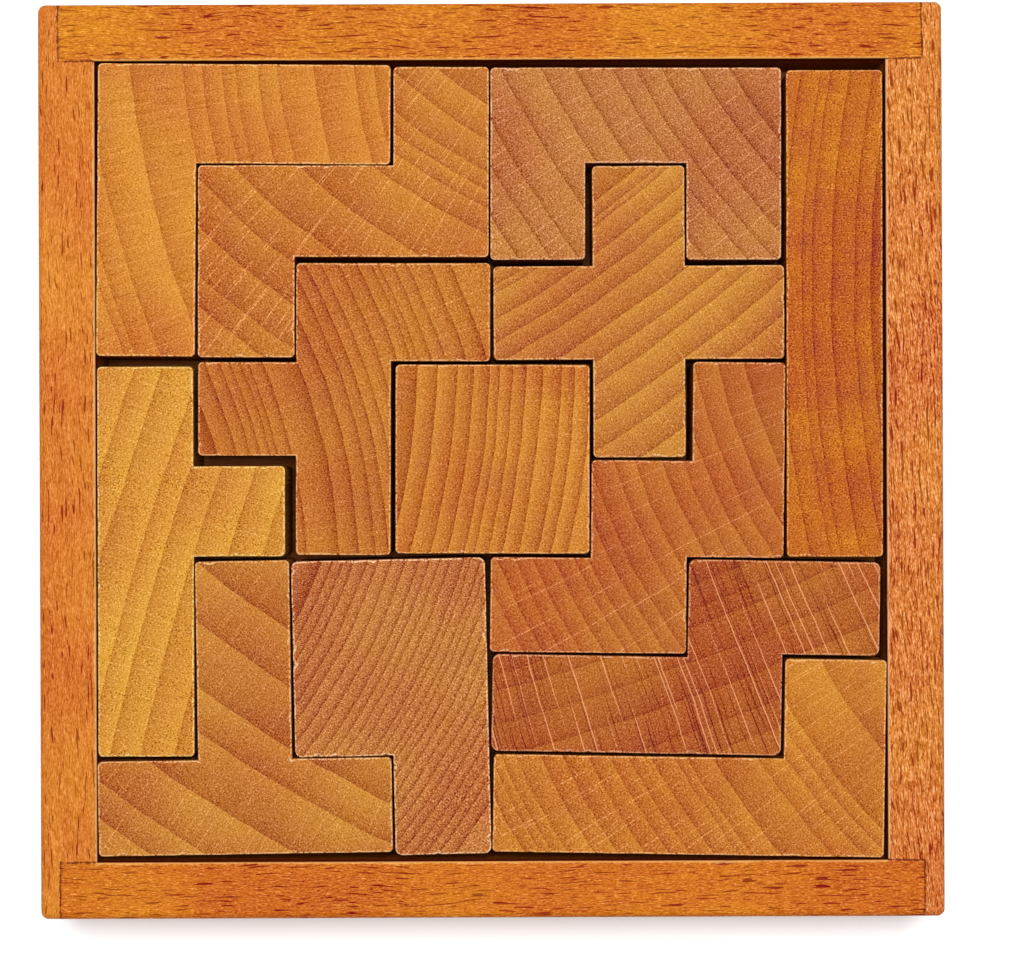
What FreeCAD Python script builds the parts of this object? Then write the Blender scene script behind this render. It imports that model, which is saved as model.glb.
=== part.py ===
import FreeCAD, Part
import os

# A packing puzzle: twelve five-cell blocks and one two-by-two block fill a square wooden tray.
# Frame: millimetres, +X to the right, +Y to the rear, +Z up. The origin is the centre of the
# tray's underside.

# ---------------------------------------------------------------- blocks

CELL = 15.0                 # pitch of the square grid that the blocks are cut on
SAW_CUT = 0.46              # wood lost between two neighbouring cells
BLOCK_HEIGHT = 15.0         # the blocks are one cell thick
BLOCK_CORNER = 0.7          # usual rounding of a block's outer upright corners
BLOCK_ARRIS = 0.25          # easing of a block's top and bottom edges

# One letter per cell, seen from above with the rear row first.
LAYOUT = (
    "VVVZUUUI",
    "VZZZUXUI",
    "VZFFXXXI",
    "YFFOOXWI",
    "YYFOOWWI",
    "YTPPWWNN",
    "YTPPNNNL",
    "TTTPLLLL",
)

# The puzzle is cut and laid by hand, so no block is quite true. For each block: how far it has
# slid along X and Y, how far it is turned (degrees, anticlockwise from above), and how far some
# of its faces stand proud of their saw line (negative: cut back). A face is named by the side
# that it looks to and its grid line, counted from the left or from the rear. A block with more
# worn corners gives its own rounding.
BLOCKS = {
    "V": {
        "node": "v_block", "slide": (-0.15, 0.75), "turn": -0.6,
        "proud": {("left", 0): 0.3, ("right", 1): 0.3, ("rear", 0): 0.3, ("front", 1): 0.4},
    },
    "Z": {
        "node": "z_block", "slide": (0.0, 0.6), "turn": -0.3,
        "proud": {("left", 3): 0.1, ("right", 2): 0.3, ("rear", 1): -0.1, ("front", 2): -0.4},
    },
    "U": {
        "node": "u_block", "slide": (-0.2, 0.3), "turn": -0.2,
        "proud": {("front", 1): 0.1, ("front", 2): -0.1},
    },
    "I": {
        "node": "i_block", "slide": (0.15, -0.2), "turn": -0.1,
        "proud": {("left", 7): 0.1, ("right", 8): 0.1},
    },
    "X": {
        "node": "x_block", "slide": (0.2, 0.15), "turn": 0.1,
        "proud": {("left", 5): -0.2, ("right", 6): -0.2, ("rear", 1): 0.1, ("rear", 2): -0.2},
    },
    "F": {
        "node": "f_block", "slide": (-0.1, 0.35), "turn": -0.3,
        "proud": {("rear", 2): 0.2, ("front", 3): 0.3, ("front", 4): -0.2, ("right", 4): 0.2},
    },
    "W": {
        "node": "w_block", "slide": (0.05, 0.15), "turn": -0.8,
        "proud": {("left", 4): 0.3, ("left", 6): -0.4, ("right", 6): 0.2, ("rear", 3): 0.2,
                  ("front", 5): 0.2},
    },
    "O": {
        "node": "square_block", "slide": (0.2, 0.2), "turn": -0.3,
        "proud": {("left", 3): 0.1, ("right", 5): 0.1, ("rear", 3): -0.3, ("front", 5): -0.3},
    },
    "Y": {
        "node": "y_block", "slide": (-0.55, -0.2), "turn": 0.0,
        "proud": {("rear", 4): -0.3, ("right", 1): 0.2, ("right", 2): -0.8, ("front", 5): -0.4,
                  ("front", 7): 0.2},
    },
    "T": {
        "node": "t_block", "slide": (-0.5, -0.4), "turn": 0.7,
        "proud": {("left", 0): 0.3, ("left", 1): -0.1, ("right", 3): 0.2, ("rear", 5): 0.4},
    },
    "P": {
        "node": "p_block", "slide": (-0.55, -0.35), "turn": 1.1, "corner": 1.1,
        "proud": {("right", 4): 0.2, ("rear", 5): 0.5, ("front", 8): 0.3},
    },
    "N": {
        "node": "n_block", "slide": (-0.3, 0.0), "turn": -1.2, "corner": 1.1,
        "proud": {("left", 4): -0.2, ("right", 8): -0.2, ("front", 6): -0.2, ("front", 7): 0.3},
    },
    "L": {
        "node": "l_block", "slide": (0.0, -0.3), "turn": -1.1,
        "proud": {("left", 7): 0.6, ("right", 8): 0.4, ("rear", 6): 0.3, ("front", 8): 0.4},
    },
}

# ---------------------------------------------------------------- tray

WELL_X = 121.2              # clear inside of the tray, left to right
WELL_Y = 122.8              # clear inside of the tray, front to rear
RAIL_WIDTH = 8.8            # all four rails, seen from above
RAIL_HEIGHT = 20.0
TONGUE = 3.2                # what each side rail's rabbet leaves, over the end of its neighbour
PANEL_THICKNESS = 3.0
PANEL_LIP = 2.5             # wood under the groove that holds the base panel
GROOVE_DEPTH = 4.0          # less than the rabbet, so that no groove shows outside
GROOVE_PLAY = 0.1           # the groove is this much higher and deeper than the panel needs
OUTER_CORNER = 1.2          # rounding of the tray's four upright corners
OUTER_ARRIS = 1.2           # rounding of the rim's outer edge
INNER_ARRIS = 0.35          # rounding of the rim's inner edge
FOOT_ARRIS = 0.5            # rounding of the outer edge underneath

OVERRUN = 1.0               # how far a cutting box reaches past the wood that it cuts
TINY = 0.001                # slack when edges are told apart by where they lie

TRAY_X = WELL_X + 2 * RAIL_WIDTH
TRAY_Y = WELL_Y + 2 * RAIL_WIDTH
PANEL_TOP = PANEL_LIP + PANEL_THICKNESS
UP = FreeCAD.Vector(0, 0, 1)


def box_between(low, high):
    """An upright box from its lowest to its highest corner."""
    sizes = [high[k] - low[k] for k in range(3)]
    return Part.makeBox(*sizes, FreeCAD.Vector(*low))


def centred_box(size_x, size_y, bottom, top):
    """A box whose plan is centred on the origin."""
    return box_between((-size_x / 2, -size_y / 2, bottom), (size_x / 2, size_y / 2, top))


def upright_edges(shape):
    """The edges of a shape that run straight up."""
    return [edge for edge in shape.Edges if abs(edge.tangentAt(edge.FirstParameter).z) > 0.99]


def edges_at_height(shape, height):
    """The edges of a shape that lie in one level plane."""
    def is_level(edge):
        box = edge.BoundBox
        return abs(box.ZMin - height) < TINY and abs(box.ZMax - height) < TINY
    return [edge for edge in shape.Edges if is_level(edge)]


# ---------------------------------------------------------------- block outlines

def grid_steps(letter):
    """The unit steps round a block's cells, wood on the left, as {start corner: end corner}.

    A corner is (column line, row line), counted from the left and from the rear.
    """
    steps = set()
    for row, letters in enumerate(LAYOUT):
        for column, other in enumerate(letters):
            if other != letter:
                continue
            ring = [(column, row), (column, row + 1), (column + 1, row + 1), (column + 1, row)]
            steps.update(zip(ring, ring[1:] + ring[:1]))
    inside = {(start, end) for start, end in steps if (end, start) in steps}
    return dict(steps - inside)


def grid_corners(letter):
    """The corners where a block's outline turns, in order, anticlockwise from above."""
    steps = grid_steps(letter)
    first = min(steps)
    ring = [first]
    while steps[ring[-1]] != first:
        ring.append(steps[ring[-1]])
    neighbours = zip(ring[-1:] + ring[:-1], ring, ring[1:] + ring[:1])
    return [here for before, here, after in neighbours if before[0] != after[0] and before[1] != after[1]]


def side_of(start, end):
    """The side that a face looks to, from the direction of its step round the outline."""
    if start[0] == end[0]:
        return "left" if end[1] > start[1] else "right"
    return "front" if end[0] > start[0] else "rear"


def face_place(side, line, proud):
    """Where a face stands along its own axis: X for left and right, Y for front and rear."""
    middle = len(LAYOUT) / 2
    inset = SAW_CUT / 2 - proud.get((side, line), 0.0)
    if side == "left":
        return (line - middle) * CELL + inset
    if side == "right":
        return (line - middle) * CELL - inset
    if side == "front":
        return (middle - line) * CELL + inset
    return (middle - line) * CELL - inset


def outline_corners(letter):
    """The sharp corners of a block as sawn, before it is slid and turned."""
    corners = grid_corners(letter)
    proud = BLOCKS[letter]["proud"]
    faces = []
    for start, end in zip(corners, corners[1:] + corners[:1]):
        side = side_of(start, end)
        line = start[0] if side in ("left", "right") else start[1]
        faces.append((side, face_place(side, line, proud)))
    points = []
    for (side, place), (next_side, next_place) in zip(faces, faces[1:] + faces[:1]):
        if side in ("left", "right"):
            points.append(FreeCAD.Vector(place, next_place, 0))
        else:
            points.append(FreeCAD.Vector(next_place, place, 0))
    return points


def outline_wire(points, radius):
    """A closed outline whose outer corners are rounded and whose inner corners are sharp."""
    starts, ends, arcs = [], [], []
    for before, here, after in zip(points[-1:] + points[:-1], points, points[1:] + points[:1]):
        arriving = (here - before).normalize()
        leaving = (after - here).normalize()
        is_outer = arriving.cross(leaving).z > 0
        if not is_outer:
            starts.append(here)
            ends.append(here)
            arcs.append(None)
            continue
        start = here - arriving * radius
        end = here + leaving * radius
        centre = start + leaving * radius
        middle = centre + (here - centre).normalize() * radius
        starts.append(start)
        ends.append(end)
        arcs.append(Part.Arc(start, middle, end).toShape())
    edges = []
    for index, arc in enumerate(arcs):
        if arc is not None:
            edges.append(arc)
        edges.append(Part.LineSegment(ends[index], starts[(index + 1) % len(starts)]).toShape())
    return Part.Wire(edges)


def make_block(letter):
    """One block, laid in the tray where it rests on the base panel."""
    cut = BLOCKS[letter]
    wire = outline_wire(outline_corners(letter), cut.get("corner", BLOCK_CORNER))
    block = Part.Face(wire).extrude(UP * BLOCK_HEIGHT)
    rims = edges_at_height(block, 0) + edges_at_height(block, BLOCK_HEIGHT)
    block = block.makeChamfer(BLOCK_ARRIS, rims)
    block.rotate(block.BoundBox.Center, UP, cut["turn"])
    block.translate(FreeCAD.Vector(*cut["slide"], PANEL_TOP))
    return block


# ---------------------------------------------------------------- tray rails and panel

def make_frame_ring():
    """The four rails as glued up and sanded together: one ring, eased along its edges."""
    outside = centred_box(TRAY_X, TRAY_Y, 0, RAIL_HEIGHT)
    outside = outside.makeFillet(OUTER_CORNER, upright_edges(outside))
    outside = outside.makeFillet(OUTER_ARRIS, edges_at_height(outside, RAIL_HEIGHT))
    outside = outside.makeFillet(FOOT_ARRIS, edges_at_height(outside, 0))
    ring = outside.cut(centred_box(WELL_X, WELL_Y, -OVERRUN, RAIL_HEIGHT + OVERRUN))

    def is_at_well(edge):
        centre = edge.CenterOfMass
        return abs(centre.x) < WELL_X / 2 + TINY and abs(centre.y) < WELL_Y / 2 + TINY

    inner_rim = [edge for edge in edges_at_height(ring, RAIL_HEIGHT) if is_at_well(edge)]
    return ring.makeFillet(INNER_ARRIS, inner_rim)


def make_rails():
    """The four rails: the side rails reach from corner to corner and the other two meet them."""
    groove = centred_box(
        WELL_X + 2 * GROOVE_DEPTH,
        WELL_Y + 2 * GROOVE_DEPTH,
        PANEL_LIP,
        PANEL_TOP + GROOVE_PLAY,
    )
    ring = make_frame_ring().cut(groove)
    half_x = TRAY_X / 2 + OVERRUN
    half_y = TRAY_Y / 2 + OVERRUN
    between_tongues = TRAY_X / 2 - TONGUE
    front = box_between(
        (-between_tongues, -half_y, -OVERRUN), (between_tongues, -WELL_Y / 2, RAIL_HEIGHT + OVERRUN)
    )
    rear = box_between(
        (-between_tongues, WELL_Y / 2, -OVERRUN), (between_tongues, half_y, RAIL_HEIGHT + OVERRUN)
    )
    left = box_between((-half_x, -half_y, -OVERRUN), (0, half_y, RAIL_HEIGHT + OVERRUN))
    right = box_between((0, -half_y, -OVERRUN), (half_x, half_y, RAIL_HEIGHT + OVERRUN))
    side_rails = ring.cut(front).cut(rear)
    return {
        "left_rail": side_rails.common(left),
        "right_rail": side_rails.common(right),
        "front_rail": ring.common(front),
        "rear_rail": ring.common(rear),
    }


def make_base_panel():
    """The thin panel under the blocks, held in the rails' grooves."""
    hold = GROOVE_DEPTH - GROOVE_PLAY
    return centred_box(WELL_X + 2 * hold, WELL_Y + 2 * hold, PANEL_LIP, PANEL_TOP)


# ---------------------------------------------------------------- all pieces

def make_pieces():
    """Every piece of the puzzle, by node name."""
    pieces = make_rails()
    pieces["base_panel"] = make_base_panel()
    for letter, block in BLOCKS.items():
        pieces[block["node"]] = make_block(letter)
    return pieces


def main():
    os.makedirs("parts", exist_ok=True)
    for name, shape in make_pieces().items():
        (solid,) = shape.Solids
        solid.exportStep(os.path.join("parts", name + ".step"))
        print(name, "valid", solid.isValid(), "volume", round(solid.Volume), solid.optimalBoundingBox())


main()
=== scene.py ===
"""A packing puzzle: thirteen hardwood blocks that fill a square beech tray."""

import math

import bmesh
import bpy
import numpy as np
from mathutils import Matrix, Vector, geometry, noise


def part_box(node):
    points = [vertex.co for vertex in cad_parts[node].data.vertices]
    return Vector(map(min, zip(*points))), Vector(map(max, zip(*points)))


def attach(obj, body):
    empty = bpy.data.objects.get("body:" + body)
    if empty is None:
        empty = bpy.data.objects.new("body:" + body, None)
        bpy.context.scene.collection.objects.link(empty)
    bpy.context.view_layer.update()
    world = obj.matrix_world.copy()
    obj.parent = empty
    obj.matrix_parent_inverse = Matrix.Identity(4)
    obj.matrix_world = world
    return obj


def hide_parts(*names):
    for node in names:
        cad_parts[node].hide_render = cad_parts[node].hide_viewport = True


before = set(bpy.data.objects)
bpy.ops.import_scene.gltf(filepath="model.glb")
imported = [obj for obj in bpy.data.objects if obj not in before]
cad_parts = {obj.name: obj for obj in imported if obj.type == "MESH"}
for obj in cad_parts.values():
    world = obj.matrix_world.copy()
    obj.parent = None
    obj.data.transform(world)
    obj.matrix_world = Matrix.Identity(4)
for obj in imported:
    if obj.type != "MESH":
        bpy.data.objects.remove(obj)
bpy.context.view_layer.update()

MM = 0.001                  # lengths below are millimetres, and Blender's are metres
TINY = 0.001                # slack when heights are compared

# ---------------------------------------------------------------- block shapes

CAD_ARRIS = 0.25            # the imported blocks' bevel, whose foot marks the full outline
OUTLINE_STEP = 0.5          # spacing of points round a worn block
CAP_STEP = 1.5              # spacing of points across its top and underside
CAP_MARGIN = 0.8            # the first of them stays this far from the rim
ARRIS_LEAST = 0.12          # the worn arris varies between these two
ARRIS_MOST = 0.28
CHIP_DEPTH = 0.5            # how much further the arris goes back at the worst chip
CHIP_SIZE = 1.3             # length of a chip along the edge
UNDERSIDE_CHIPS = 0.5       # the underside is chipped this much as badly as the top
ARRIS_SLOPES = (0, 30, 60, 90)      # degrees round the worn arris, wall to top
ARRIS_PAINTED_LIGHT = (-0.5, 0.4, 1.0, 1.0)   # at each slope: 1 is a painted highlight, -1 is painted shade
WEAR_SIZE = 4.0             # the wear of an arris changes over about this length
CHIPS_ABOVE = 0.8           # an arris is chipped where its unevenness, from 0 to 1, is above this
SHADE_MOST = 0.7            # strength of the painted shade on a wall, next to its rims
SHADE_LEAST = 0.15          # and in its middle
SHADE_REACH = 5.0           # the distance from a rim over which it fades
RIM_WIDTH = 0.10            # the painted highlight line on top, inside the arris
WALL_LEVELS = (0.07, 0.2, 0.4, 0.6, 0.8, 0.93)  # heights of the rings of points on the walls
WALL_HOLLOW = 0.05          # the saw left the walls uneven by this much
WALL_SWELL = 5.0            # over about this length
TOP_HOLLOW = 0.06           # and sanding left the top uneven by this much
TOP_SWELL = 14.0            # over about this length
SHARP_ANGLE = 50            # degrees: a steeper edge than this isn't shaded as smooth

# ---------------------------------------------------------------- woods

# Each block is cut across the grain, so its top shows growth rings. The pith is given as the
# bearing (degrees, anticlockwise from +X) and the distance from the block's middle. Rings are
# given by where each year ends, measured away from the pith with 0 at the block's middle.
# Most other figures are strengths: band, how much a year darkens towards its end; line, the thin
# dark line that ends it, thinner where line_power is higher; uneven, how much years differ; rays,
# the thin pale lines that run to the pith; hatch, finer dark ones; specks, mottle, pores and
# scratches; red, how much redder or, below 0, more golden it is than most; then the painted
# highlight on the arrises, and chipping, their wear. Rays have a length and a spacing, and
# scratches run at an angle.
USUAL = {
    "band": 0.25, "line": 0.12, "line_power": 10.0, "uneven": 0.06, "rays": 0.18, "ray_length": 5.0,
    "ray_gap": 1.6, "hatch": 0.10, "specks": 1.5, "mottle": 0.35, "pores": 0.12, "scratches": 0.10,
    "scratch_angle": 60, "red": 0.0, "edge_highlight": 1.0, "chipping": 0.5,
}
WOODS = {
    "v_block": {
        "colour": (210, 130, 55), "pith": (16, 134),
        "rings": (-24, -21, -15, -9.5, -6.5, -3, -1, 2, 5, 13, 19.5, 23, 24.5),
        "band": 0.20, "hatch": 0.18, "specks": 1.4,
    },
    "z_block": {
        "colour": (195, 115, 50), "pith": (53, 106),
        "rings": (-26, -21.5, -17, -14.5, -12, -8.5, -1, 6, 11, 16, 21.5, 25),
        "rays": 0.35, "ray_gap": 1.3, "scratches": 0.12, "scratch_angle": -35, "specks": 1.7,
        "edge_highlight": 1.1,
    },
    "u_block": {
        "colour": (190, 115, 65), "pith": (34, 165),
        "rings": (-20, -16, -11, -7.5, -4.5, 0.5, 5, 10.5, 15.5, 19, 23),
        "band": 0.12, "line": 0.30, "rays": 0.3, "specks": 1.9, "red": -0.2, "edge_highlight": 1.1,
    },
    "i_block": {
        "colour": (195, 105, 30), "pith": (1, 183),
        "rings": (-5.5, -3, 0.5, 3.5, 5, 8),
        "band": 0.12, "line": 0.28, "rays": 0.15, "mottle": 0.8, "pores": 0.8, "specks": 1.7,
    },
    "x_block": {
        "colour": (195, 120, 55), "pith": (126, 195),
        "rings": (-17.5, -15.5, -14.5, -11, -8, -5, -1, 2.5, 5.5, 10, 14, 18.5),
        "band": 0.31, "hatch": 0.08, "specks": 1.6,
    },
    "f_block": {
        "colour": (195, 115, 50), "pith": (196, 98),
        "rings": (-20.5, -17.5, -15.5, -14, -12.5, -11.5, -9.5, -4.5, -1.5, 1, 3, 5, 7.5, 10,
                  12, 13, 15, 17, 20, 23),
        "band": 0.15, "line": 0.32, "line_power": 6.0, "specks": 1.7, "red": 0.1,
    },
    "w_block": {
        "colour": (190, 105, 50), "pith": (23, 100),
        "rings": (-22.5, -18.5, -15, -12, -9, -6, -2, 1, 4.5, 7, 10, 12, 15, 18, 20.5, 23, 25.5),
        "band": 0.24, "rays": 0.35, "ray_length": 9.0, "ray_gap": 2.6, "mottle": 0.4,
    },
    "square_block": {
        "colour": (200, 120, 50), "pith": (172, 136),
        "rings": (-12.5, -9.5, -6.5, -4, -1.5, 0, 2, 4, 6.5, 9.5, 11.5, 14),
        "band": 0.38, "line": 0.20, "rays": 0.14, "specks": 1.6, "red": 0.1,
    },
    "y_block": {
        "colour": (215, 145, 60), "pith": (343, 445),
        "rings": (-10, -5, 0, 4.5, 8, 13.5, 17.5),
        "pores": 0.9, "specks": 1.7, "red": -0.1,
    },
    "t_block": {
        "colour": (195, 120, 55), "pith": (56, 200),
        "rings": (-13.5, -6.5, 1.5, 7, 15, 22, 26.5),
        "band": 0.31, "specks": 1.7, "rays": 0.22, "scratches": 0.15, "scratch_angle": 50,
    },
    "p_block": {
        "colour": (195, 120, 65), "pith": (150, 106),
        "rings": (-19, -17.5, -16, -14.5, -12.5, -11, -9, -7, -5, -3.5, -2, -0.5, 1.5, 2.5, 4, 5,
                  6.5, 8, 9.5, 11, 12.5, 14, 15.5, 17, 18.5, 20.5),
        "band": 0.14, "line": 0.34, "line_power": 5.0, "rays": 0.15, "specks": 2.1,
        "edge_highlight": 1.2, "chipping": 1.0,
    },
    "n_block": {
        "colour": (180, 95, 45), "pith": (110, 343),
        "rings": (-10, -6.5, -4, 1, 6, 11, 15),
        "band": 0.12, "rays": 1.5, "ray_length": 30.0, "ray_gap": 1.9, "hatch": 0.50, "specks": 1.7,
        "scratches": 0.05, "scratch_angle": 22,
    },
    "l_block": {
        "colour": (200, 120, 50), "pith": (30, 117),
        "rings": (-25, -17, -15, -12.5, -9, -3, 0.5, 2, 5, 8, 10.5, 13.5, 17, 20, 23.5, 25.5, 27, 29),
        "rays": 0.3, "mottle": 0.45, "scratches": 0.18, "scratch_angle": 45, "specks": 1.7,
    },
}

RING_MARGIN = 8.0           # one more year is drawn this far past the first and the last
RING_WANDER = 1.0           # how far the rings stray from true circles, peak to peak
RAY_HALF = 0.07             # half the width of a pale ray

# Sizes of a block's marks. Those of specks and pores are given round the pith, away from it and
# up; those of scratches along them, across them and up; and the other three by X, Y and Z.
DRIFT_SIZE = (11, 11, 30)
SPECK_SIZE = (0.20, 0.27, 4.0)
PORE_SIZE = (0.22, 0.26, 9.0)
PATCH_SIZE = (4.5, 4.5, 14.0)
SCRATCH_SIZE = (5.0, 0.28, 0.6)
NIBBLE_SIZE = (0.4, 0.4, 0.4)
HATCH_WIDTH = 0.24          # width of the hatch lines
BREAK_WIDTH = 0.8           # width of the breaks in the rays
RAY_DEPTH = 2.5             # how far up both go; their length is the wood's ray_length
GRAIN_RELIEF = 0.05         # height of the relief, in every wood

# Each of these marks starts to show at the first figure of its noise, which runs from 0 to 1, and
# shows in full at the second.
PORE_SHOWS = (0.66, 0.76)
PORES_IN_PATCH = (0.42, 0.6)        # pores keep to patches
HATCH_SHOWS = (0.42, 0.30)
RAY_SHOWS = (0.40, 0.62)
SCRATCH_SHOWS = (0.62, 0.74)
# where the painted highlight on an arris shows
HIGHLIGHT_SHOWS = (0.36, 0.58)
RED_SHOWS = (0.70, 0.30)
RAIL_RED_SHOWS = (0.75, 0.25)

# Steps along two tone scales, dark to light, as sRGB differences from a wood's own colour, which
# is at 0.5. Growth rings and patches change the strength of the stain, so they change its hue too.
# Specks, pores, rays and scratches are only lighter or darker.
BROAD_TONES = (
    (0.0, (-56, -66, -34)),
    (0.25, (-20, -24, -11)),
    (0.5, (0, 0, 0)),
    (0.75, (19, 25, 10)),
    (1.0, (50, 66, 36)),
)
FINE_TONES = (
    (0.0, (-60, -60, -50)),
    (0.25, (-21, -21, -20)),
    (0.5, (0, 0, 0)),
    (0.75, (21, 22, 22)),
    (1.0, (56, 64, 66)),
)
PAINTED_HIGHLIGHT = (52, 72, 78)       # the same for the painted highlight on the arrises
RED_DRIFT = (-2, -8, -6)    # for redder patches
GOLD_DRIFT = (3, 5, -4)     # and for more golden ones
CLOUD = (20, 20, 20)        # size of the large clouds in which the hue and the tone drift
CLOUDING = 0.12             # and how far the tone does
PAINTED_SHADE = (118, 30, 8)        # sRGB colour of the painted shade on the walls

STUDIO_LIGHT = 1.66         # white paper under the lamp has this brightness, where 1 is pure white
GLOSS = 0.10                # specular level of the woods
VEIL = 0.012                # the light that this gloss adds to every colour

# ---------------------------------------------------------------- rails

# Beech, sawn along the grain. Flecks are the short dark dashes that the rays leave. They are as
# large as "fleck" says along, across and down the rail, and there are more of them where
# "fleck_from" is higher. The grain leans by "lean" millimetres for each millimetre of length,
# "fibre" is the strength of the fine grain, and "seed" picks the pattern.
RAILS = {
    "left_rail": {
        "colour": (215, 125, 50), "along": "y", "seed": 3.0, "lean": 0.03, "fibre": 1.0,
        "fleck": (3.4, 0.30, 0.30), "fleck_from": 0.29,
    },
    "right_rail": {
        "colour": (215, 125, 60), "along": "y", "seed": 17.0, "lean": 0.06, "fibre": 1.65,
        "fleck": (2.8, 0.30, 0.30), "fleck_from": 0.33,
    },
    "front_rail": {
        "colour": (210, 115, 30), "along": "x", "seed": 31.0, "lean": -0.02, "fibre": 1.3,
        "fleck": (3.8, 0.28, 0.28), "fleck_from": 0.32,
    },
    "rear_rail": {
        "colour": (210, 120, 25), "along": "x", "seed": 41.0, "lean": 0.02, "fibre": 1.2,
        "fleck": (3.6, 0.28, 0.28), "fleck_from": 0.32,
    },
}
FLECK_EDGE = 0.06           # how softly a fleck ends, on the scale of fleck_from
FLECK_STRENGTH = 1.2
FIBRE_SIZE = (1.3, 0.17, 0.17)      # along, across and down the rail
GRIT_SIZE = (0.45, 0.17, 0.17)
STREAK_SIZE = (14.0, 0.9, 0.9)
SHADE_SIZE = (7, 7, 7)
BEND_SIZE = (16, 16, 30)
BEND = 2.5                  # how far the grain strays sideways, from one extreme to the other
WAVER_SIZE = (5, 5, 30)     # the rim and the seams waver, over about this length
WAVER = (0.5, 0.5, 0.0)     # by this much from one extreme to the other
RIM_BAND = 0.42             # the painted highlight band along the well's rim, seen from above
RIM_STRENGTH = 0.7
RIM_WOBBLE = 0.5            # how much its width differs
RIM_WOBBLE_SIZE = (0.8, 0.8, 0.8)   # over about this length
RIM_FADE = (0.15, 0.4)      # it fades out between these depths below the top
SHADE_ONSET = (0.05, 0.3)   # and the painted shade on the well's wall sets in between these
WALL_SKIN = (0.05, 0.25)    # which ends between these distances from the well
SEAM = 0.13                 # half the width of the dark line at a glued joint
JOINT = (112, 36, 18)       # its colour
SEAM_STRENGTH = 0.85        # and how well it covers the wood
SEAM_RAG = 0.7              # how ragged its edges are
SEAM_RAG_SIZE = (0.6, 0.6, 2.0)     # over about this length
PANEL_COLOUR = (160, 92, 45)
PLIES = 3
FACE_STREAK_SIZE = (30.0, 1.2, 3.0)
CORE_STREAK_SIZE = (1.2, 30.0, 3.0)
PANEL_FIBRE_SIZE = (4.0, 0.2, 0.5)
PANEL_PATCH_SIZE = (25, 12, 25)
GLUE = (0.12, 0.03)         # a glue line shows this close to it, as a share of a ply

# ---------------------------------------------------------------- view and light

LENS = 100.0                # focal length
SENSOR = 36.0               # and sensor width
CAMERA_HEIGHT = 435.4       # above the tops of the blocks
CAMERA_PLACE = (3.17, -3.01)        # seen from above, from the tray's middle
CAMERA_TURN = -0.22         # degrees about the view axis
LAMP_SIZE = (700.0, 500.0)
LAMP_PLACE = (0.0, 220.0, 1100.0)
LAMP_WATTS = 16.0
SURROUNDINGS = 0.55         # brightness of the pale room
TABLE_SIZE = 4000.0
TABLE_WHITE = 0.9


# ---------------------------------------------------------------- materials: helpers

def linear(channel):
    """One sRGB channel from 0 to 255 as linear light from 0 to 1."""
    share = min(max(channel, 0), 255) / 255
    return share / 12.92 if share <= 0.04045 else ((share + 0.055) / 1.055) ** 2.4


def pigment(colour):
    """The surface colour that looks like the given sRGB colour under the studio light."""
    return tuple(max(linear(channel) - VEIL, 0.0) / STUDIO_LIGHT for channel in colour) + (1.0,)


def shifted(colour, difference):
    """An sRGB colour moved by a difference in each channel."""
    return tuple(channel + change for channel, change in zip(colour, difference))


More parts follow.
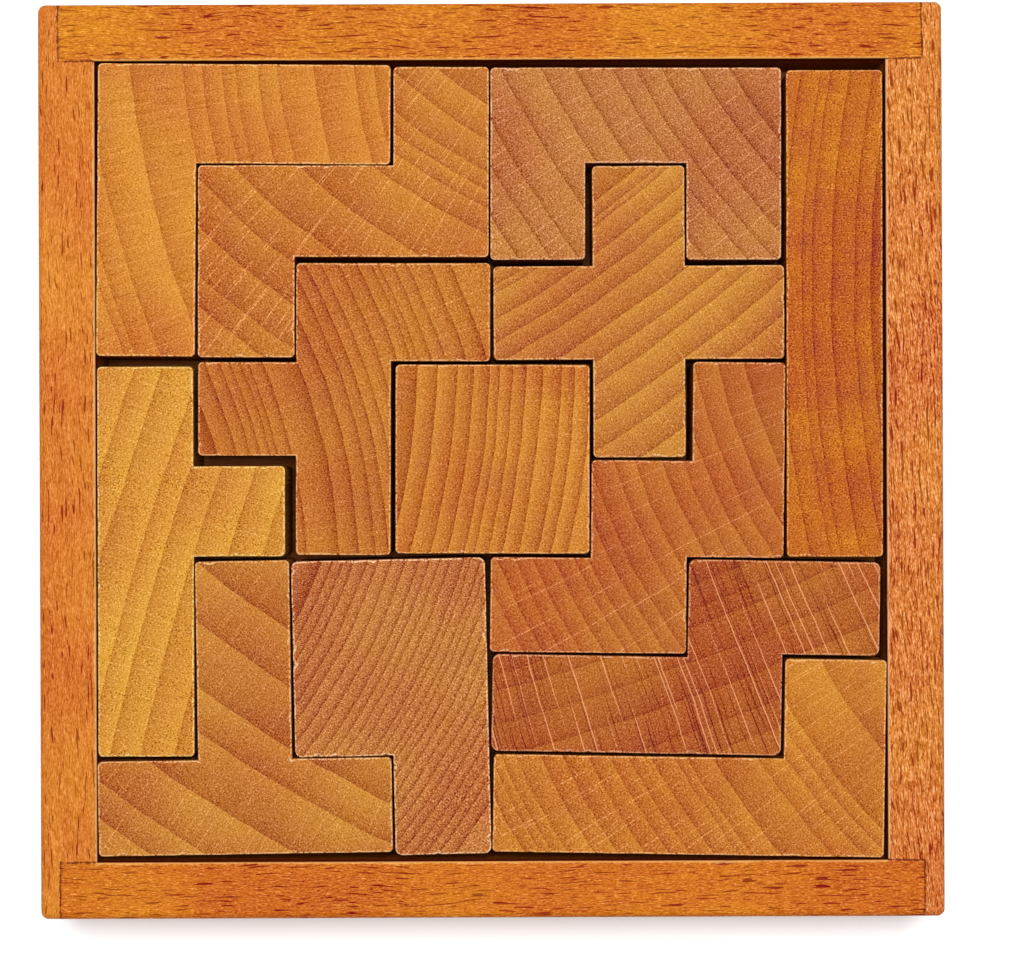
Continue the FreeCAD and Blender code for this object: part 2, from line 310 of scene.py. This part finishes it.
class Surface:
    """A material under construction. Each call adds nodes and gives back their output."""

    def __init__(self, name):
        self.material = bpy.data.materials.new(name)
        self.material.use_nodes = True
        self.nodes = self.material.node_tree.nodes
        self.links = self.material.node_tree.links
        self.shader = self.nodes["Principled BSDF"]
        self.shader.inputs["Specular IOR Level"].default_value = GLOSS

    def feed(self, socket, value):
        """Gives an input another node's output, or a fixed value."""
        if isinstance(value, bpy.types.NodeSocket):
            self.links.new(value, socket)
        else:
            socket.default_value = value

    def place(self):
        """Where a point is on the object, in millimetres."""
        coordinates = self.nodes.new("ShaderNodeTexCoord").outputs["Object"]
        return self.vector("MULTIPLY", coordinates, (1 / MM, 1 / MM, 1 / MM))

    def math(self, operation, *values):
        node = self.nodes.new("ShaderNodeMath")
        node.operation = operation
        for socket, value in zip(node.inputs, values):
            self.feed(socket, value)
        return node.outputs["Value"]

    def total(self, *values):
        result = values[0]
        for value in values[1:]:
            result = self.math("ADD", result, value)
        return result

    def vector(self, operation, *values):
        node = self.nodes.new("ShaderNodeVectorMath")
        node.operation = operation
        for socket, value in zip(node.inputs, values):
            self.feed(socket, value)
        return node.outputs["Value" if operation in ("LENGTH", "DOT_PRODUCT") else "Vector"]

    def split(self, vector):
        node = self.nodes.new("ShaderNodeSeparateXYZ")
        self.feed(node.inputs[0], vector)
        return node.outputs[0], node.outputs[1], node.outputs[2]

    def join(self, x, y, z):
        node = self.nodes.new("ShaderNodeCombineXYZ")
        for socket, value in zip(node.inputs, (x, y, z)):
            self.feed(socket, value)
        return node.outputs[0]

    def noise(self, vector, size, detail=2.0, output="Fac"):
        """Cloudy noise whose lumps have the given size along each axis. Its mean is 0.5."""
        node = self.nodes.new("ShaderNodeTexNoise")
        self.feed(node.inputs["Vector"], self.vector("DIVIDE", vector, size))
        node.inputs["Scale"].default_value = 1.0
        node.inputs["Detail"].default_value = detail
        return node.outputs[output]

    def wander(self, vector, size, reach, detail):
        """A random shift, which differs by about the reach along each axis."""
        drift = self.noise(vector, size, detail, output="Color")
        return self.vector("MULTIPLY", self.vector("SUBTRACT", drift, (0.5, 0.5, 0.5)), reach)

    def swing(self, value, strength):
        """A value about 0.5 as a swing about zero."""
        return self.math("MULTIPLY", self.math("SUBTRACT", value, 0.5), strength)

    def ease(self, value, start, end):
        """0 up to start, 1 from end on, and a smooth step between. Start may be the higher one."""
        node = self.nodes.new("ShaderNodeMapRange")
        node.interpolation_type = "SMOOTHSTEP"
        self.feed(node.inputs["Value"], value)
        node.inputs["From Min"].default_value = start
        node.inputs["From Max"].default_value = end
        return node.outputs["Result"]

    def ramp(self, value, stops):
        """A colour, or a grey that stands for a number, read from evenly blended stops."""
        node = self.nodes.new("ShaderNodeValToRGB")
        self.feed(node.inputs["Fac"], value)
        elements = node.color_ramp.elements
        while len(elements) < len(stops):
            elements.new(1.0)
        for element, (position, colour) in zip(elements, stops):
            element.position = position
            element.color = colour
        return node.outputs["Color"]

    def blend(self, amount, first, second):
        node = self.nodes.new("ShaderNodeMix")
        node.data_type = "RGBA"
        self.feed(node.inputs["Factor"], amount)
        inputs = [socket for socket in node.inputs if socket.type == "RGBA"]
        self.feed(inputs[0], first)
        self.feed(inputs[1], second)
        return next(socket for socket in node.outputs if socket.type == "RGBA")

    def bump(self, height):
        """Raises the surface where height is more."""
        node = self.nodes.new("ShaderNodeBump")
        node.inputs["Distance"].default_value = GRAIN_RELIEF * MM
        self.feed(node.inputs["Height"], height)
        self.feed(self.shader.inputs["Normal"], node.outputs["Normal"])

    def toned(self, colour, tone, steps):
        """A wood's colour at each tone."""
        stops = [(position, pigment(shifted(colour, change))) for position, change in steps]
        return self.ramp(tone, stops)

    def stained(self, colour, redness, broad, fine):
        """A wood's colour, which drifts between golden and red and changes with both tones."""
        golden = self.toned(shifted(colour, GOLD_DRIFT), broad, BROAD_TONES)
        redder = self.toned(shifted(colour, RED_DRIFT), broad, BROAD_TONES)
        detail = self.vector("SUBTRACT", self.toned(colour, fine, FINE_TONES), pigment(colour)[:3])
        whole = self.vector("ADD", self.blend(redness, golden, redder), detail)
        return self.vector("MAXIMUM", whole, (0, 0, 0))


# ---------------------------------------------------------------- materials: block wood

def ring_count(surface, outward, rings):
    """How many years lie between a point and the pith, counted from the first one drawn."""
    ends = (rings[0] - RING_MARGIN, *rings, rings[-1] + RING_MARGIN)
    span = ends[-1] - ends[0]
    years = len(ends) - 1
    stops = []
    for index, end in enumerate(ends):
        share = index / years
        stops.append(((end - ends[0]) / span, (share, share, share, 1.0)))
    along = surface.math("DIVIDE", surface.math("SUBTRACT", outward, ends[0]), span)
    return surface.math("MULTIPLY", surface.ramp(along, stops), years)


def about_pith(surface, node_name, wood, place, seed):
    """How far a point is round the pith and away from it, both 0 at the block's middle."""
    low, high = (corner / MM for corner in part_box(node_name))
    middle = (low + high) / 2
    bearing = math.radians(wood["pith"][0])
    distance = wood["pith"][1]
    inward = Vector((math.cos(bearing), math.sin(bearing), 0))
    sideways = Vector((-inward.y, inward.x, 0))
    pith = middle + inward * distance
    shake = surface.wander(place, DRIFT_SIZE, (RING_WANDER,) * 3, 3.0)
    to_point = surface.vector("SUBTRACT", place, (pith.x + seed, pith.y, 0))
    flat = surface.vector("MULTIPLY", surface.vector("ADD", to_point, shake), (1, 1, 0))
    outward = surface.math("SUBTRACT", surface.vector("LENGTH", flat), distance)
    ahead = surface.vector("DOT_PRODUCT", flat, tuple(-inward))
    aside = surface.vector("DOT_PRODUCT", flat, tuple(sideways))
    around = surface.math("MULTIPLY", surface.math("DIVIDE", aside, ahead), distance)
    return around, outward


def pale_rays(surface, wood, grain, around, seed):
    """A mask of thin broken lines that run to the pith."""
    lines = surface.nodes.new("ShaderNodeTexVoronoi")
    lines.voronoi_dimensions = "1D"
    lines.inputs["Scale"].default_value = 1.0
    spot = surface.math("DIVIDE", surface.math("ADD", around, seed), wood["ray_gap"])
    surface.feed(lines.inputs["W"], spot)
    from_line = surface.math("MULTIPLY", lines.outputs["Distance"], wood["ray_gap"])
    on_line = surface.ease(from_line, RAY_HALF * 1.6, RAY_HALF * 0.4)
    breaks = surface.noise(grain, (BREAK_WIDTH, wood["ray_length"], RAY_DEPTH), detail=1.0)
    return surface.math("MULTIPLY", on_line, surface.ease(breaks, *RAY_SHOWS))


def sanding_scratches(surface, wood, place, height):
    """A mask of fine straight scratches, all at one angle."""
    turn = math.radians(wood["scratch_angle"])
    lengthwise = surface.vector("DOT_PRODUCT", place, (math.cos(turn), math.sin(turn), 0))
    crosswise = surface.vector("DOT_PRODUCT", place, (-math.sin(turn), math.cos(turn), 0))
    lines = surface.noise(surface.join(lengthwise, crosswise, height), SCRATCH_SIZE, detail=1.0)
    return surface.ease(lines, *SCRATCH_SHOWS)


def with_arris_highlight_and_shade(surface, wood, place, colour):
    """The wood's colour, with a painted highlight where the mesh's "arris" value is above 0 and
    painted shade where it is below.
    """
    rim = surface.nodes.new("ShaderNodeAttribute")
    rim.attribute_name = "arris"
    # painted highlight on the upper arris, broken up by noise
    nibble = surface.ease(surface.noise(place, NIBBLE_SIZE, detail=1.0), *HIGHLIGHT_SHOWS)
    painted_light = surface.math("MULTIPLY", surface.ease(rim.outputs["Fac"], 0.2, 1.0), nibble)
    pale = shifted(wood["colour"], [change * wood["edge_highlight"] for change in PAINTED_HIGHLIGHT])
    colour = surface.blend(painted_light, colour, pigment(pale))
    # painted shade where the arris value is below 0
    return surface.blend(surface.ease(rim.outputs["Fac"], 0.0, -1.0), colour, pigment(PAINTED_SHADE))


def end_grain(node_name, wood, seed):
    """Wood cut across the grain, solid all through, so that the walls show long grain."""
    surface = Surface(node_name + "_end_grain")
    place = surface.vector("ADD", surface.place(), (seed, 0, 0))
    around, outward = about_pith(surface, node_name, wood, place, seed)
    height = surface.split(place)[2]
    grain = surface.join(around, outward, height)

    count = ring_count(surface, outward, wood["rings"])
    season = surface.math("FRACT", count)
    year = surface.nodes.new("ShaderNodeTexWhiteNoise")
    year.noise_dimensions = "1D"
    surface.feed(year.inputs["W"], surface.math("ADD", surface.math("FLOOR", count), seed))
    band = surface.swing(surface.math("SUBTRACT", 1.0, season), wood["band"])
    line = surface.math("MULTIPLY", surface.math("POWER", season, wood["line_power"]), -wood["line"])
    uneven = surface.swing(year.outputs["Value"], wood["uneven"])

    speck = surface.noise(grain, SPECK_SIZE, detail=1.0)
    hatch = surface.noise(grain, (HATCH_WIDTH, wood["ray_length"], RAY_DEPTH), detail=1.0)
    ray = pale_rays(surface, wood, grain, around, seed)
    scratch = sanding_scratches(surface, wood, place, height)
    pore = surface.noise(grain, PORE_SIZE, detail=0.0)
    patch = surface.noise(place, PATCH_SIZE, detail=2.0)
    cloud = surface.noise(place, CLOUD, detail=0.0)
    porous = surface.ease(patch, *PORES_IN_PATCH)
    pores = surface.math("MULTIPLY", surface.ease(pore, *PORE_SHOWS), porous)

    broad = surface.total(
        0.5,
        band,
        uneven,
        surface.swing(patch, wood["mottle"]),
        surface.swing(cloud, CLOUDING),
    )
    fine = surface.total(
        0.5,
        line,
        surface.swing(speck, wood["specks"]),
        surface.math("MULTIPLY", ray, wood["rays"]),
        surface.math("MULTIPLY", surface.ease(hatch, *HATCH_SHOWS), -wood["hatch"]),
        surface.math("MULTIPLY", scratch, wood["scratches"]),
        surface.math("MULTIPLY", pores, -wood["pores"]),
    )
    redness = surface.total(
        surface.ease(cloud, *RED_SHOWS),
        surface.swing(patch, 0.8),
        wood["red"],
    )
    colour = surface.stained(wood["colour"], redness, broad, fine)
    colour = with_arris_highlight_and_shade(surface, wood, place, colour)
    surface.feed(surface.shader.inputs["Base Color"], colour)

    gloss = surface.total(0.62, surface.swing(speck, -0.5), surface.swing(patch, 0.3))
    surface.feed(surface.shader.inputs["Roughness"], gloss)
    relief = surface.total(
        surface.swing(speck, 1.0),
        surface.math("MULTIPLY", pores, -1.0),
        surface.math("MULTIPLY", scratch, -0.5),
        surface.math("MULTIPLY", season, 0.4),
    )
    surface.bump(relief)
    return surface.material


# ---------------------------------------------------------------- materials: rails and panel

def rail_marks(surface, place):
    """Masks for all four rails: the painted highlight along the well's rim, the painted shade on the
    well's wall, and the joints.
    """
    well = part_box("left_rail")[1].x / -MM
    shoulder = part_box("front_rail")[1].y / -MM
    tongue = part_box("front_rail")[1].x / MM
    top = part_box("left_rail")[1].z / MM
    shake = surface.wander(place, WAVER_SIZE, WAVER, 2.0)
    x, y, height = surface.split(surface.vector("ADD", place, shake))
    side = surface.math("ABSOLUTE", x)
    end = surface.math("ABSOLUTE", y)
    past_side = surface.math("SUBTRACT", side, well)
    past_end = surface.math("SUBTRACT", end, shoulder)
    past_tongue = surface.math("SUBTRACT", side, tongue)

    # painted highlight: a band along the well's rim, fading below the top
    from_well = surface.math("MAXIMUM", past_side, past_end)
    wobble = surface.swing(surface.noise(place, RIM_WOBBLE_SIZE, detail=1.0), RIM_WOBBLE)
    band = surface.ease(surface.math("ADD", from_well, wobble), RIM_BAND, RIM_BAND * 0.5)
    near_top = surface.ease(height, top - RIM_FADE[1], top - RIM_FADE[0])
    painted_light = surface.math("MULTIPLY", band, near_top)
    # painted shade: the well's wall darkened below the rim, fading downwards
    on_wall = surface.ease(from_well, WALL_SKIN[1], WALL_SKIN[0])
    fading = surface.ease(height, top - SHADE_REACH, top - RIM_FADE[1])
    below_rim = surface.ease(height, top - SHADE_ONSET[0], top - SHADE_ONSET[1])
    shade_on_wall = surface.math("MULTIPLY", surface.math("MULTIPLY", on_wall, fading), below_rim)

    to_tongue = surface.math("ABSOLUTE", past_tongue)
    to_shoulder = surface.math("ABSOLUTE", past_end)
    before_end = surface.math("MULTIPLY", past_end, -1.0)
    before_side = surface.math("MULTIPLY", past_side, -1.0)
    beside_joint = surface.math("MAXIMUM", past_tongue, before_side)
    from_long_seam = surface.math("MAXIMUM", to_tongue, before_end)
    from_short_seam = surface.math("MAXIMUM", to_shoulder, beside_joint)
    from_seam = surface.math("MINIMUM", from_long_seam, from_short_seam)
    ragged = surface.swing(surface.noise(place, SEAM_RAG_SIZE, detail=2.0), SEAM_RAG)
    seam = surface.ease(surface.math("ADD", from_seam, ragged), SEAM * 1.4, SEAM * 0.6)
    return painted_light, shade_on_wall, seam


def long_grain(node_name, rail):
    """Beech sawn along the grain, with its dark flecks, a painted highlight along the rim, painted
    shade on the well's wall and the glued joints.
    """
    surface = Surface(node_name + "_beech")
    place = surface.place()
    x, y, height = surface.split(place)
    along, across = (x, y) if rail["along"] == "x" else (y, x)
    bend = surface.swing(surface.noise(place, BEND_SIZE, detail=1.0), BEND)
    leaning = surface.total(across, surface.math("MULTIPLY", along, rail["lean"]), bend)
    seed = (rail["seed"],) * 3
    grain = surface.vector("ADD", surface.join(along, leaning, height), seed)

    dash = surface.noise(grain, rail["fleck"], detail=0.0)
    fleck = surface.ease(dash, rail["fleck_from"], rail["fleck_from"] - FLECK_EDGE)
    streak = surface.noise(grain, STREAK_SIZE, detail=3.0)
    fibre = surface.noise(grain, FIBRE_SIZE, detail=1.0)
    grit = surface.noise(grain, GRIT_SIZE, detail=1.0)
    shade = surface.noise(place, SHADE_SIZE, detail=2.0)
    cloud = surface.noise(surface.vector("ADD", place, seed), CLOUD, detail=0.0)
    broad = surface.total(
        0.5,
        surface.swing(streak, 0.25),
        surface.swing(shade, 0.15),
        surface.swing(cloud, CLOUDING),
    )
    fine = surface.total(
        0.5,
        surface.swing(fibre, rail["fibre"]),
        surface.swing(grit, rail["fibre"]),
        surface.math("MULTIPLY", fleck, -FLECK_STRENGTH),
    )
    tinge = surface.math("ADD", cloud, surface.swing(streak, 0.3))
    redness = surface.ease(tinge, *RAIL_RED_SHOWS)
    colour = surface.stained(rail["colour"], redness, broad, fine)
    painted_light, shade_on_wall, seam = rail_marks(surface, place)
    # painted highlight along the rim, then painted shade on the well's wall
    pale = pigment(shifted(rail["colour"], PAINTED_HIGHLIGHT))
    colour = surface.blend(surface.math("MULTIPLY", painted_light, RIM_STRENGTH), colour, pale)
    colour = surface.blend(shade_on_wall, colour, pigment(PAINTED_SHADE))
    colour = surface.blend(surface.math("MULTIPLY", seam, SEAM_STRENGTH), colour, pigment(JOINT))
    surface.feed(surface.shader.inputs["Base Color"], colour)

    gloss = surface.total(0.6, surface.swing(grit, -0.4), surface.math("MULTIPLY", fleck, 0.15))
    surface.feed(surface.shader.inputs["Roughness"], gloss)
    relief = surface.total(
        surface.swing(fibre, 1.0),
        surface.swing(grit, 0.5),
        surface.math("MULTIPLY", fleck, -0.6),
        surface.math("MULTIPLY", seam, -0.3),
    )
    surface.bump(relief)
    return surface.material


def plywood(node_name):
    """Thin stained plywood: veneers with the grain turned in every other one."""
    surface = Surface(node_name + "_plywood")
    place = surface.place()
    low, high = (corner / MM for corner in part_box(node_name))
    height = surface.split(place)[2]
    ply = (high.z - low.z) / PLIES
    level = surface.math("DIVIDE", surface.math("SUBTRACT", height, low.z), ply)
    from_middle = surface.math("ABSOLUTE", surface.math("SUBTRACT", level, PLIES / 2))
    is_core = surface.math("LESS_THAN", from_middle, 0.5)
    is_face = surface.math("SUBTRACT", 1.0, is_core)
    face_streak = surface.noise(place, FACE_STREAK_SIZE, detail=4.0)
    core_streak = surface.noise(place, CORE_STREAK_SIZE, detail=4.0)
    streak = surface.total(
        surface.math("MULTIPLY", core_streak, is_core),
        surface.math("MULTIPLY", face_streak, is_face),
    )
    fibre = surface.noise(place, PANEL_FIBRE_SIZE, detail=2.0)
    patch = surface.noise(place, PANEL_PATCH_SIZE, detail=3.0)
    from_glue = surface.math("ABSOLUTE", surface.math("SUBTRACT", from_middle, 0.5))
    glue = surface.ease(from_glue, *GLUE)
    tone = surface.total(
        0.5,
        surface.swing(streak, 1.0),
        surface.swing(fibre, 0.8),
        surface.swing(patch, 0.8),
        surface.math("MULTIPLY", is_core, -0.15),
        surface.math("MULTIPLY", glue, -0.5),
    )
    surface.feed(surface.shader.inputs["Base Color"], surface.toned(PANEL_COLOUR, tone, BROAD_TONES))
    surface.feed(surface.shader.inputs["Roughness"], surface.total(0.65, surface.swing(fibre, -0.3)))
    surface.bump(surface.total(surface.swing(streak, 0.6), surface.swing(fibre, 0.6)))
    return surface.material


def give_material(thing, material):
    """Puts one material in every slot of an object."""
    for holder in thing.material_slots:
        holder.material = material


# ---------------------------------------------------------------- worn blocks

def full_outline(node_name):
    """A packed block's outline where its walls end, anticlockwise from above, in millimetres."""
    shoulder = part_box(node_name)[1].z / MM - CAD_ARRIS
    solid = bmesh.new()
    solid.from_mesh(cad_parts[node_name].data)
    bmesh.ops.remove_doubles(solid, verts=solid.verts, dist=TINY * MM)
    beside = {}
    for edge in solid.edges:
        if all(abs(vertex.co.z / MM - shoulder) < TINY for vertex in edge.verts):
            first, second = edge.verts
            beside.setdefault(first, []).append(second)
            beside.setdefault(second, []).append(first)
    start = next(iter(beside))
    ring = [start, beside[start][0]]
    while ring[-1] is not start:
        onward = [vertex for vertex in beside[ring[-1]] if vertex is not ring[-2]]
        ring.append(onward[0])
    points = [Vector((vertex.co.x, vertex.co.y)) / MM for vertex in ring[:-1]]
    solid.free()
    doubled_area = sum(a.x * b.y - b.x * a.y for a, b in zip(points, points[1:] + points[:1]))
    return points if doubled_area > 0 else points[::-1]


def with_more_points(outline):
    """The same outline with its long stretches divided evenly."""
    points = []
    for here, after in zip(outline, outline[1:] + outline[:1]):
        pieces = max(1, round((after - here).length / OUTLINE_STEP))
        points += [here.lerp(after, piece / pieces) for piece in range(pieces)]
    return points


def inward_ways(outline):
    """For each point, the way into the wood, long enough to keep an inset even at corners."""
    ways = []
    for before, here, after in zip(outline[-1:] + outline[:-1], outline, outline[1:] + outline[:1]):
        arriving = (here - before).normalized()
        leaving = (after - here).normalized()
        first = Vector((-arriving.y, arriving.x))
        second = Vector((-leaving.y, leaving.x))
        ways.append((first + second) / (1 + first.dot(second)))
    return ways


def unevenness(point, size, height, seed):
    """A smooth random number from 0 to 1 at a point."""
    spot = Vector((point.x / size, point.y / size, height / size + seed))
    return min(max(0.5 + noise.noise(spot), 0.0), 1.0)


def worn_arris(points, height, seed, chipping):
    """How far back the arris is worn at each point of an outline."""
    widths = []
    for point in points:
        wear = unevenness(point, WEAR_SIZE, height, seed)
        jag = unevenness(point, CHIP_SIZE, height, seed + 50)
        chip = max(0.0, jag - CHIPS_ABOVE) / (1 - CHIPS_ABOVE)
        width = ARRIS_LEAST + (ARRIS_MOST - ARRIS_LEAST) * wear
        widths.append(width + CHIP_DEPTH * chipping * chip)
    return widths


def is_within(spots, outline, margin):
    """Which spots lie inside an outline and at least a margin from it."""
    starts = np.array(outline)
    steps = np.roll(starts, -1, axis=0) - starts
    gaps = spots[:, None, :] - starts[None, :, :]
    shares = np.clip((gaps * steps).sum(2) / (steps ** 2).sum(1), 0, 1)
    distances = np.linalg.norm(gaps - shares[:, :, None] * steps, axis=2).min(1)
    ends = starts + steps
    crosses = (starts[:, 1] > spots[:, 1:]) != (ends[:, 1] > spots[:, 1:])
    level = np.where(np.abs(steps[:, 1]) < TINY ** 2, TINY ** 2, steps[:, 1])
    reach = starts[:, 0] + (spots[:, 1:] - starts[:, 1]) * steps[:, 0] / level
    inside = (crosses & (spots[:, :1] < reach)).sum(1) % 2 == 1
    return inside & (distances > margin)


def filled(outline):
    """Inner points for a flat outline, and triangles over the outline's and the inner points."""
    lowest = np.array(outline).min(0)
    highest = np.array(outline).max(0)
    columns = np.arange(lowest[0], highest[0], CAP_STEP)
    rows = np.arange(lowest[1], highest[1], CAP_STEP)
    spots = np.array([(x, y) for x in columns for y in rows])
    inner = [Vector(spot) for spot in spots[is_within(spots, outline, CAP_MARGIN)]]
    given = list(outline) + inner
    made = geometry.delaunay_2d_cdt(given, [], [list(range(len(outline)))], 1, TINY ** 2)
    origins = [sources[0] for sources in made[3]]
    triangles = [[origins[corner] for corner in face] for face in made[2]]
    return inner, triangles


def worn_block(node_name, seed, chipping):
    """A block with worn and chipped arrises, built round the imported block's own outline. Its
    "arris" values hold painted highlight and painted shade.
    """
    low, high = (corner.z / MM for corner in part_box(node_name))
    outline = with_more_points(full_outline(node_name))
    ways = inward_ways(outline)
    vertices, arris, faces = [], [], []

    def add_ring(insets, heights, painted_light):
        for point, way, inset, height in zip(outline, ways, insets, heights):
            vertices.append((*(point + way * inset), height))
            arris.append(painted_light)

    def add_arris(widths, edge, upward, slopes):
        for slope, painted_light in slopes:
            angle = math.radians(slope)
            insets = [width * (1 - math.cos(angle)) for width in widths]
            heights = [edge + upward * width * (1 - math.sin(angle)) for width in widths]
            add_ring(insets, heights, painted_light)

    def add_cap(height, is_top):
        base = len(vertices) - len(outline)
        rim = [Vector(vertex[:2]) for vertex in vertices[base:]]
        inner, triangles = filled(rim)
        for point in inner:
            sunk = TOP_HOLLOW * unevenness(point, TOP_SWELL, height, seed)
            vertices.append((point.x, point.y, height - sunk if is_top else height + sunk))
            arris.append(0.0)
        for triangle in triangles:
            corners = [base + corner for corner in triangle]
            faces.append(corners if is_top else corners[::-1])

    count = len(outline)
    under = worn_arris(outline, low, seed, chipping * UNDERSIDE_CHIPS)
    upper = worn_arris(outline, high, seed, chipping)
    slopes = list(zip(ARRIS_SLOPES, ARRIS_PAINTED_LIGHT))
    add_ring([width + RIM_WIDTH for width in under], [low] * count, 0.0)
    add_cap(low, False)
    under_cap_end = len(vertices)
    add_arris(under, low, 1, slopes[::-1])
    for share in WALL_LEVELS:
        height = low + (high - low) * share
        # painted shade on the walls, strongest next to the top and bottom rims
        nearness = max(0.0, 1 - min(height - low, high - height) / SHADE_REACH)
        wall_shade = SHADE_LEAST + (SHADE_MOST - SHADE_LEAST) * nearness
        hollows = [WALL_HOLLOW * unevenness(point, WALL_SWELL, height, seed) for point in outline]
        add_ring(hollows, [height] * count, -wall_shade)
    add_arris(upper, high, -1, slopes)
    add_ring([width + RIM_WIDTH for width in upper], [high] * count, 0.0)
    bases = [0] + list(range(under_cap_end, len(vertices), count))
    add_cap(high, True)
    for lower, higher in zip(bases, bases[1:]):
        for index in range(count):
            after = (index + 1) % count
            faces.append([lower + index, lower + after, higher + after, higher + index])

    mesh = bpy.data.meshes.new(node_name + "_worn")
    mesh.from_pydata([Vector(vertex) * MM for vertex in vertices], [], faces)
    mesh.attributes.new("arris", "FLOAT", "POINT").data.foreach_set("value", arris)
    mesh.shade_smooth()
    mesh.set_sharp_from_angle(angle=math.radians(SHARP_ANGLE))
    piece = bpy.data.objects.new(node_name + "_worn", mesh)
    bpy.context.scene.collection.objects.link(piece)
    return piece


# ---------------------------------------------------------------- the object

def make_blocks():
    """All thirteen blocks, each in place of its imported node."""
    for index, (node_name, changes) in enumerate(WOODS.items()):
        seed = 40.0 * (index + 1)
        wood = {**USUAL, **changes}
        block = worn_block(node_name, seed, wood["chipping"])
        block.data.materials.append(end_grain(node_name, wood, seed))
        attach(block, node_name)
        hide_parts(node_name)


def make_tray():
    """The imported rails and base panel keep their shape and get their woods."""
    for node_name, rail in RAILS.items():
        give_material(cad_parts[node_name], long_grain(node_name, rail))
    give_material(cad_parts["base_panel"], plywood("base_panel"))


# ---------------------------------------------------------------- the studio

def make_floor():
    """A plain white table."""
    surface = Surface("white_table")
    surface.shader.inputs["Base Color"].default_value = (TABLE_WHITE,) * 3 + (1.0,)
    surface.shader.inputs["Roughness"].default_value = 0.9
    surface.shader.inputs["Specular IOR Level"].default_value = 0.1
    half = TABLE_SIZE / 2 * MM
    mesh = bpy.data.meshes.new("table")
    corners = [(-half, -half, 0), (half, -half, 0), (half, half, 0), (-half, half, 0)]
    mesh.from_pydata(corners, [], [[0, 1, 2, 3]])
    mesh.materials.append(surface.material)
    table = bpy.data.objects.new("table", mesh)
    bpy.context.scene.collection.objects.link(table)


def make_lights():
    """Even pale surroundings and one large soft lamp overhead, a little to the rear."""
    world = bpy.data.worlds.new("studio")
    bpy.context.scene.world = world
    world.use_nodes = True
    pale = (SURROUNDINGS,) * 3 + (1.0,)
    world.node_tree.nodes["Background"].inputs["Color"].default_value = pale
    lamp = bpy.data.lights.new("soft_box", "AREA")
    lamp.shape = "RECTANGLE"
    lamp.size = LAMP_SIZE[0] * MM
    lamp.size_y = LAMP_SIZE[1] * MM
    lamp.energy = LAMP_WATTS
    holder = bpy.data.objects.new("soft_box", lamp)
    holder.location = Vector(LAMP_PLACE) * MM
    holder.rotation_euler = (-holder.location).to_track_quat("-Z", "Y").to_euler()
    bpy.context.scene.collection.objects.link(holder)


def make_camera():
    """Straight down over the tray."""
    data = bpy.data.cameras.new("camera")
    data.lens = LENS
    data.sensor_width = SENSOR
    camera = bpy.data.objects.new("camera", data)
    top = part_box("v_block")[1].z
    camera.location = (CAMERA_PLACE[0] * MM, CAMERA_PLACE[1] * MM, top + CAMERA_HEIGHT * MM)
    camera.rotation_euler = (0, 0, math.radians(CAMERA_TURN))
    bpy.context.scene.collection.objects.link(camera)
    bpy.context.scene.camera = camera


make_blocks()
make_tray()
make_floor()
make_lights()
make_camera()
bpy.context.scene.view_settings.view_transform = "Standard"
